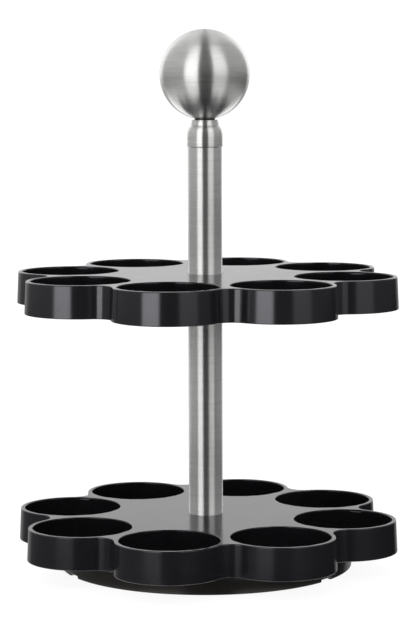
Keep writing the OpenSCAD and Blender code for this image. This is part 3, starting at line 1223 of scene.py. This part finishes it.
@dataclass
class Studio:
    """A white sweep, soft panels round the object, and the camera."""

    lens: float = 135.0
    distance: float = 1087.8 * MM
    height: float = 237.7 * MM
    orbit: float = math.radians(14.3)
    yaw: float = math.radians(0.0667)
    pitch: float = math.radians(6.205)
    roll: float = math.radians(-0.163)
    brightest: float = 6.2
    panels: Sequence[Panel] = (
        Panel(-180, -168, 0.92, 0.92, 0.4, 1.2),
        Panel(-160, -145, 1.4, 1.4, 0.4, 1.8),
        Panel(-130, -56, 0.74, 0.55, 0.15, 0.8),
        Panel(-50, -20, 1.75, 6.0, 0.16, 1.4),
        Panel(-15, 20, 0.22, 0.1, 0.0, 0.12),
        Panel(26, 58, 1.55, 1.1, 0.0, 1.2),
        Panel(66, 138, 0.56, 0.33, 0.0, 0.6),
        Panel(150, 162, 1.4, 1.2, 0.35, 1.8),
        Panel(168, 180, 0.92, 0.92, 0.4, 1.2),
    )
    floor_level: Point = (-0.4, -0.29)
    below_level: Point = (-0.062, -0.022)
    above_level: Point = (0.03, 0.1)
    overhead: float = 0.22
    overhead_level: Point = (0.88, 1.0)
    backdrop: float = 1.05
    floor_glow: float = 0.92
    floor_colour: float = 0.18
    floor_size: float = 12.0

    def camera(self) -> None:
        """Makes the camera and sets it as the scene's."""
        data = bpy.data.cameras.new("camera")
        data.lens = self.lens
        data.sensor_width = 36.0
        data.clip_start = 0.01
        data.clip_end = 100.0
        camera = bpy.data.objects.new("camera", data)
        bpy.context.scene.collection.objects.link(camera)
        cy, sy = math.cos(self.yaw), math.sin(self.yaw)
        cp, sp = math.cos(self.pitch), math.sin(self.pitch)
        forward = Vector((sy * cp, cy * cp, -sp))
        level = Vector((cy, -sy, 0))
        upright = level.cross(forward)
        right = math.cos(self.roll) * level + math.sin(self.roll) * upright
        up = -math.sin(self.roll) * level + math.cos(self.roll) * upright
        turn = Matrix.Rotation(self.orbit, 3, "Z")
        axes = Matrix((turn @ right, turn @ up, turn @ -forward)).transposed()
        place = turn @ Vector((0, -self.distance, self.height))
        camera.matrix_world = Matrix.Translation(place) @ axes.to_4x4()
        bpy.context.scene.camera = camera

    def world(self) -> None:
        """Lights the scene from soft panels, and shows plain white behind it."""
        world = bpy.data.worlds.new("studio")
        bpy.context.scene.world = world
        world.use_nodes = True
        tree = world.node_tree
        tree.nodes.clear()
        way = tree.nodes.new("ShaderNodeTexCoord").outputs["Generated"]

        def along(axis: Vector) -> bpy.types.NodeSocket:
            """How far a direction goes along an axis."""
            dot = {"operation": "DOT_PRODUCT"}
            return add_node(tree, "ShaderNodeVectorMath", dot, i0=way, i1=tuple(axis)).outputs["Value"]

        turn = Matrix.Rotation(self.orbit, 3, "Z")
        to_right, to_camera = along(turn @ Vector((1, 0, 0))), along(turn @ Vector((0, -1, 0)))
        bearing = calc(tree, "ARCTAN2", to_right, to_camera)
        share = calc(tree, "ADD", calc(tree, "DIVIDE", bearing, TURN), 0.5)

        def ring(levels: Sequence[float]) -> bpy.types.NodeSocket:
            """The panels' radiance round the object, from one level for each."""
            ramp = add_node(tree, "ShaderNodeValToRGB", i0=share)
            ramp.color_ramp.interpolation = "EASE"
            while len(ramp.color_ramp.elements) > 1:
                ramp.color_ramp.elements.remove(ramp.color_ramp.elements[-1])
            edges = [edge for panel in self.panels for edge in (panel.start, panel.end)]
            for k, angle in enumerate(edges):
                stop = ramp.color_ramp.elements[0] if k == 0 else ramp.color_ramp.elements.new(1.0)
                stop.position = angle / 360 + 0.5
                stop.color = (*[levels[k // 2] / self.brightest] * 3, 1.0)
            return calc(tree, "MULTIPLY", ramp.outputs["Color"], self.brightest)

        rise = along(Vector((0, 0, 1)))

        def step(start: float, end: float) -> bpy.types.NodeSocket:
            """A smooth step from 0 to 1 between two heights."""
            smooth = {"interpolation_type": "SMOOTHSTEP"}
            return add_node(tree, "ShaderNodeMapRange", smooth, Value=rise, i1=start, i2=end).outputs[0]

        def mixed(first: object, second: object, share: bpy.types.NodeSocket) -> bpy.types.NodeSocket:
            """Goes from the first value to the second with a share."""
            kept = calc(tree, "MULTIPLY", first, calc(tree, "SUBTRACT", 1.0, share))
            return calc(tree, "ADD", kept, calc(tree, "MULTIPLY", second, share))

        walls = ring([p.under for p in self.panels])
        walls = mixed(walls, ring([p.low for p in self.panels]), step(*self.floor_level))
        walls = mixed(walls, ring([p.level for p in self.panels]), step(*self.below_level))
        walls = mixed(walls, ring([p.high for p in self.panels]), step(*self.above_level))
        whole = mixed(walls, self.overhead, step(*self.overhead_level))
        soft = add_node(tree, "ShaderNodeBackground", Color=WHITE, Strength=whole)
        plain = add_node(tree, "ShaderNodeBackground", Color=WHITE, Strength=self.backdrop)
        seen = tree.nodes.new("ShaderNodeLightPath").outputs["Is Camera Ray"]
        shown = add_node(tree, "ShaderNodeMixShader", i0=seen, i1=soft.outputs[0], i2=plain.outputs[0])
        add_node(tree, "ShaderNodeOutputWorld", Surface=shown.outputs[0])

    def floor(self) -> None:
        """The pale floor, which glows a little so that it stays white away from the object."""
        half = self.floor_size / 2
        mesh = bmesh.new()
        corners = ((-half, -half, 0), (half, -half, 0), (half, half, 0), (-half, half, 0))
        mesh.faces.new([mesh.verts.new(corner) for corner in corners])
        floor = finished("floor", mesh)
        material, shader = blank_material("white_sweep")
        tree = material.node_tree
        speck = noise(tree, object_place(tree), Scale=3.0, Detail=2.0)
        dark, light = (self.floor_colour,) * 3, (self.floor_colour + 0.01,) * 3
        feed(
            shader, Base_Color=two_tones(tree, speck, dark, light), Roughness=0.8,
            Specular_IOR_Level=0.1, Emission_Color=WHITE, Emission_Strength=self.floor_glow,
        )
        floor.data.materials.append(material)
        floor.visible_glossy = False
        floor.visible_shadow = False

    def build(self) -> None:
        """Makes the camera, the light and the floor."""
        bpy.context.scene.view_settings.view_transform = "Standard"
        self.camera()
        self.world()
        self.floor()
        LOG.info("studio: camera at %.3f m, %d panels", self.distance, len(self.panels))


def main() -> None:
    """Builds the carousel and the studio."""
    logging.basicConfig(level=logging.INFO, format="%(name)s %(message)s", stream=sys.stdout)
    Studio().build()
    finishes = Finishes()
    ring = RingOfCopies()
    for assembly in (Base(ring), Bearing(ring), Tray("lower", ring), Tray("upper", ring), Column()):
        assembly.build(finishes)


if __name__ == "__main__":
    main()
